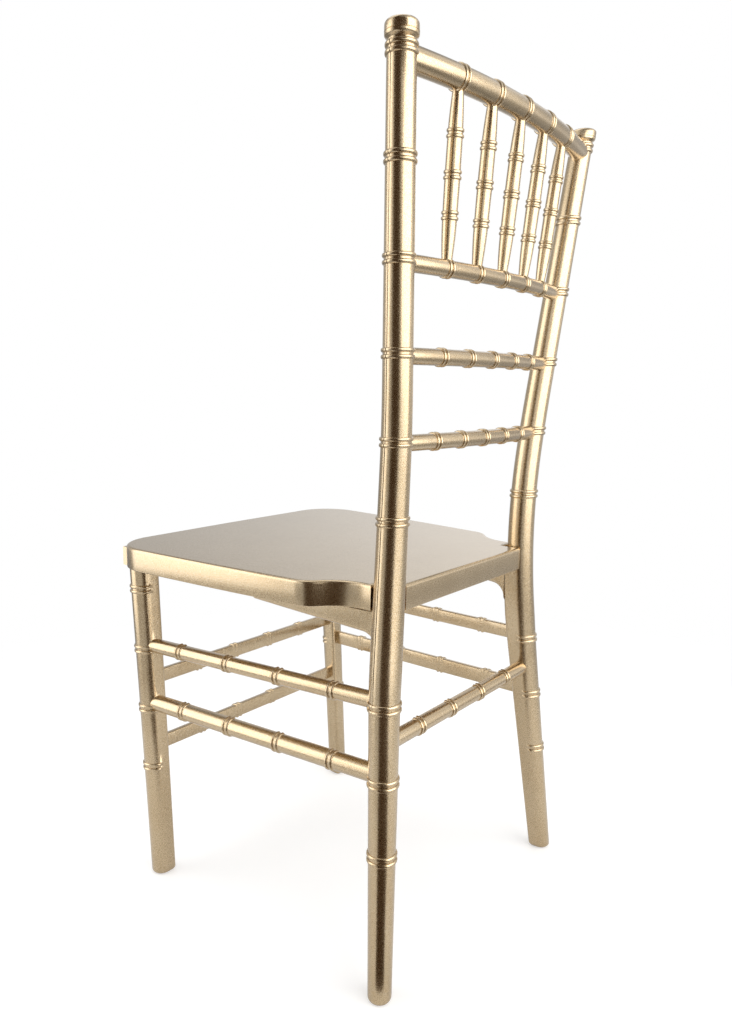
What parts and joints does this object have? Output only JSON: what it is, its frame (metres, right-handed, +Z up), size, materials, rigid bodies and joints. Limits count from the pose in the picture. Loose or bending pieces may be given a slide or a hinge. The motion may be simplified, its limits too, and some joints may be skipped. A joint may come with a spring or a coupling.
{
  "type": "ballroom chair",
  "caption": "Banquet side chair in gold resin with bamboo-style ringed posts, bowed back rails, spindles, a flat moulded seat and half-round stretchers.",
  "frame": {"origin": "middle of the chair's footprint box, on the floor", "axes": "+Z up, -Y towards the front of the seat, +X to the sitter's left"},
  "size_m": [0.4052, 0.4547, 0.9233],
  "materials": {
    "gold_resin": "satin metallic gold"
  },
  "bodies": {
    "root": {"front_leg_left": "gold_resin", "front_leg_right": "gold_resin", "front_stretcher_lower": "gold_resin", "front_stretcher_upper": "gold_resin", "left_stretcher_lower": "gold_resin", "left_stretcher_upper": "gold_resin", "lower_rail": "gold_resin", "middle_rail": "gold_resin", "rear_leg_left": "gold_resin", "rear_leg_right": "gold_resin", "rear_stretcher": "gold_resin", "right_stretcher_lower": "gold_resin", "right_stretcher_upper": "gold_resin", "seat": "gold_resin", "spindle_1": "gold_resin", "spindle_2": "gold_resin", "spindle_3": "gold_resin", "spindle_4": "gold_resin", "spindle_5": "gold_resin", "spindle_rail": "gold_resin", "top_rail": "gold_resin"}
  },
  "joints": []
}
